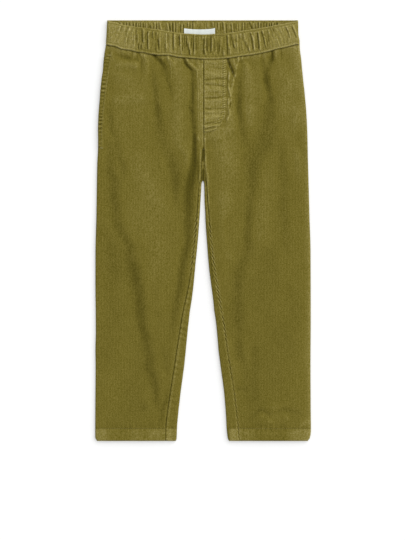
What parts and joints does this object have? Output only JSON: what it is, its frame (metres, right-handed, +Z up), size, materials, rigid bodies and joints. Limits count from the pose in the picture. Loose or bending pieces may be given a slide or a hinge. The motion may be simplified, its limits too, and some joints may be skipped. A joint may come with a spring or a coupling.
{
  "type": "tapered trousers",
  "caption": "Child's pull-on tapered trousers in fine corduroy, laid flat, front up, with a gathered elastic waistband, mock fly and side pockets.",
  "frame": {"origin": "on the surface that the garment lies on, under the middle of its box", "axes": "+X from the wearer's right leg to the left leg, +Y from the hems to the waist, +Z up from the surface, with the front of the garment up"},
  "size_m": [0.3234, 0.6308, 0.0084],
  "materials": {
    "corduroy": "fine ribbed cotton corduroy, soft pile, matte with a slight sheen",
    "corduroy_waistband": "gathered ribbed corduroy casing over elastic, slightly paler on the gathers",
    "thread": "matte spun sewing thread",
    "label_tape": "smooth woven satin tape, blank"
  },
  "bodies": {
    "root": {"front_right": "corduroy", "front_left": "corduroy", "back_right": "corduroy", "back_left": "corduroy", "waistband": "corduroy_waistband", "mock_fly": "corduroy", "pocket_edge_right": "corduroy", "pocket_edge_left": "corduroy", "label": "label_tape"}
  },
  "joints": []
}
